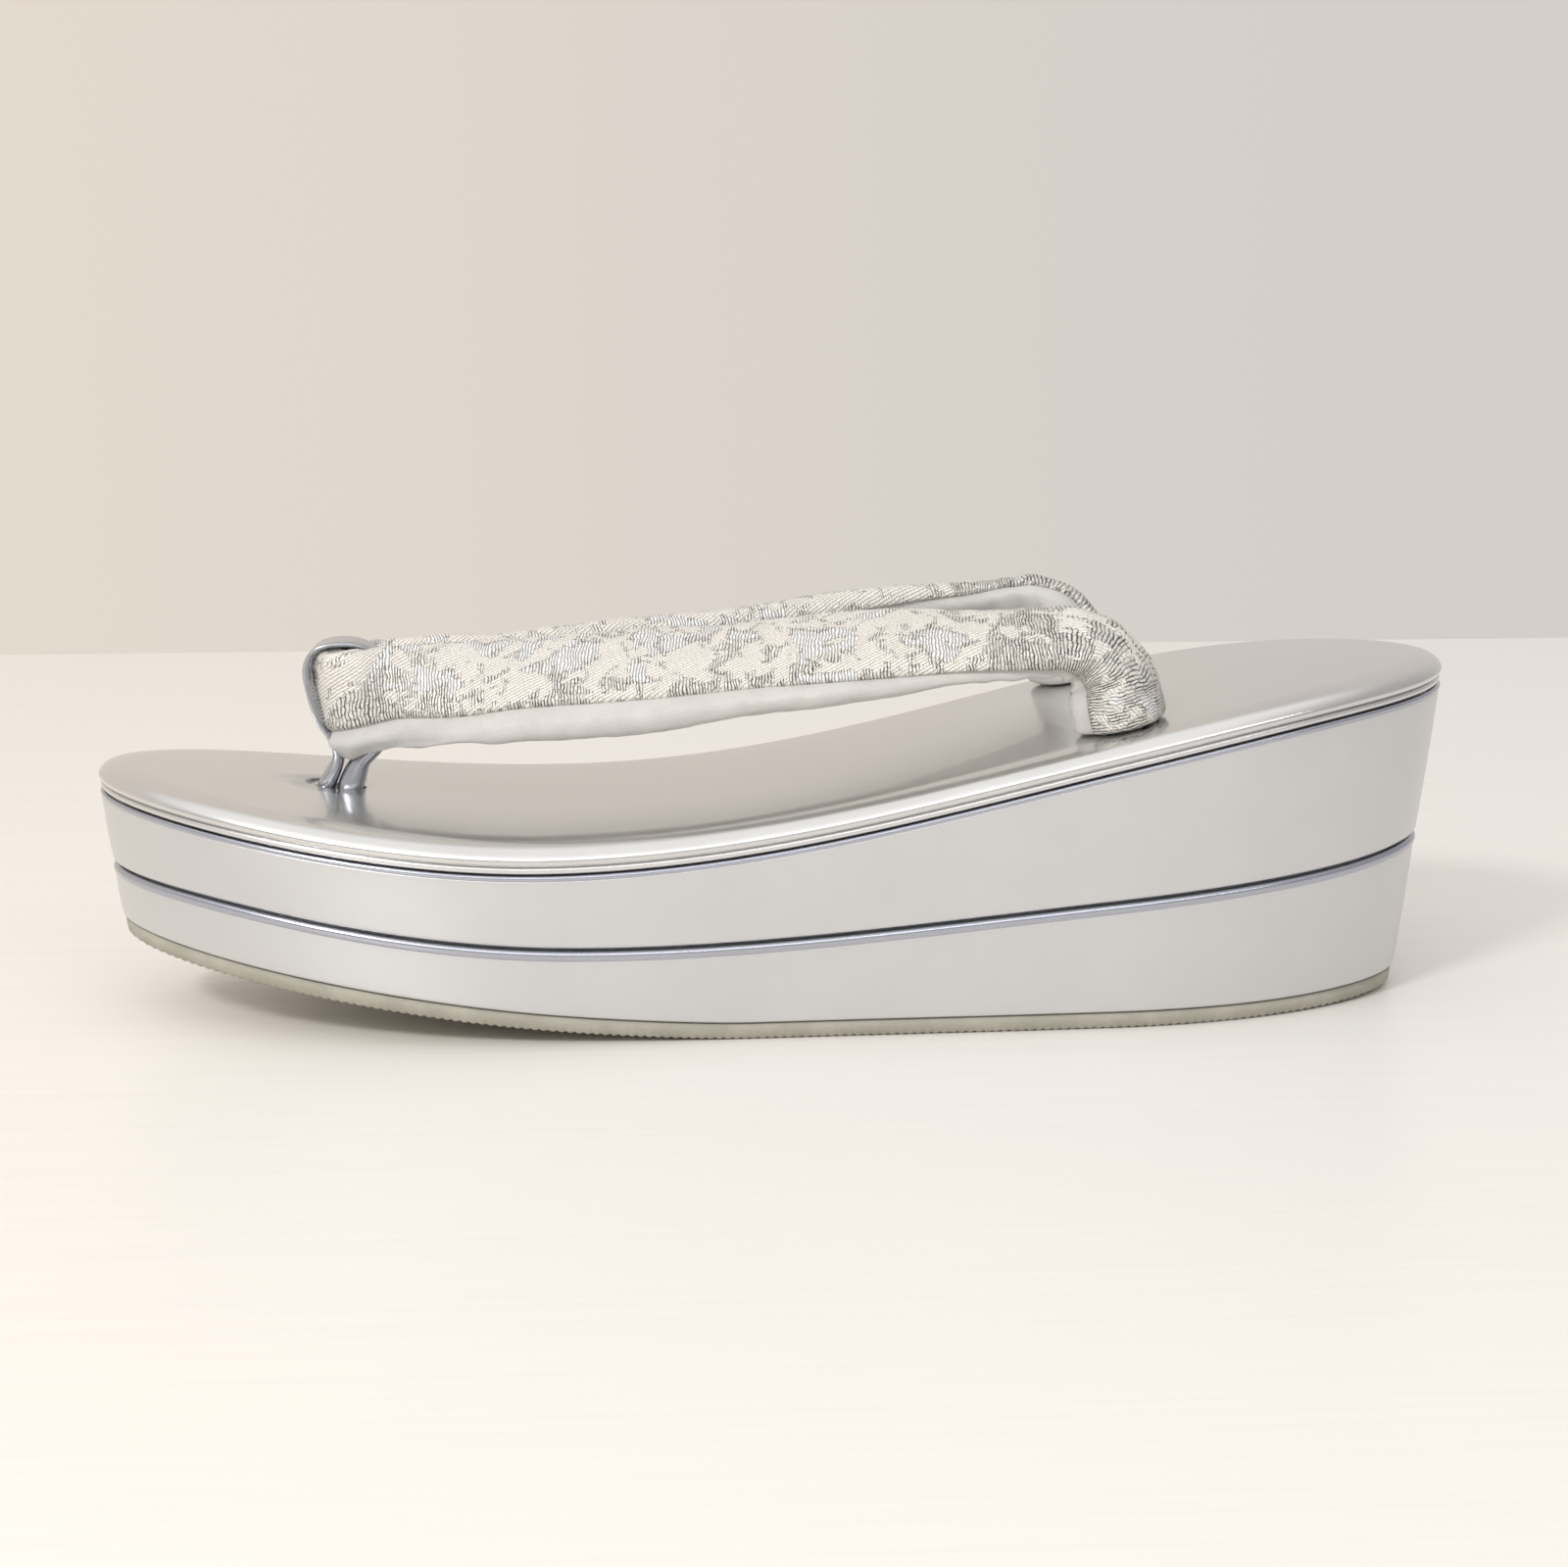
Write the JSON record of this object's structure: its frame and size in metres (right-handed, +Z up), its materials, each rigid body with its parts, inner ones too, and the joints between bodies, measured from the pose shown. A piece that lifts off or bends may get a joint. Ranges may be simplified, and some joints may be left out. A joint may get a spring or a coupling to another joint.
{
  "type": "zori sandal",
  "caption": "Formal Japanese zori sandal: layered wedge sole wrapped in silver leatherette, padded footbed, brocade V strap with a velvet underside and a front thong.",
  "frame": {"origin": "centre of the bounding box at the floor, under the middle of the sole", "axes": "+X from toe to heel, +Y across the sandal, +Z up"},
  "size_m": [0.2406, 0.0794, 0.0727],
  "materials": {
    "outsole_rubber": "matt",
    "tier_leatherette": "satin metallic",
    "piping_leatherette": "glossy metallic",
    "footbed_leatherette": "satin metallic",
    "brocade": "woven with metallic thread",
    "velvet": "short pile",
    "thong_leatherette": "glossy metallic"
  },
  "bodies": {
    "root": {"outsole": "outsole_rubber", "lower_tier": "tier_leatherette", "lower_piping": "piping_leatherette", "upper_tier": "tier_leatherette", "upper_piping": "piping_leatherette", "footbed": "footbed_leatherette", "hanao": "brocade", "front_thong": "thong_leatherette"}
  },
  "joints": []
}
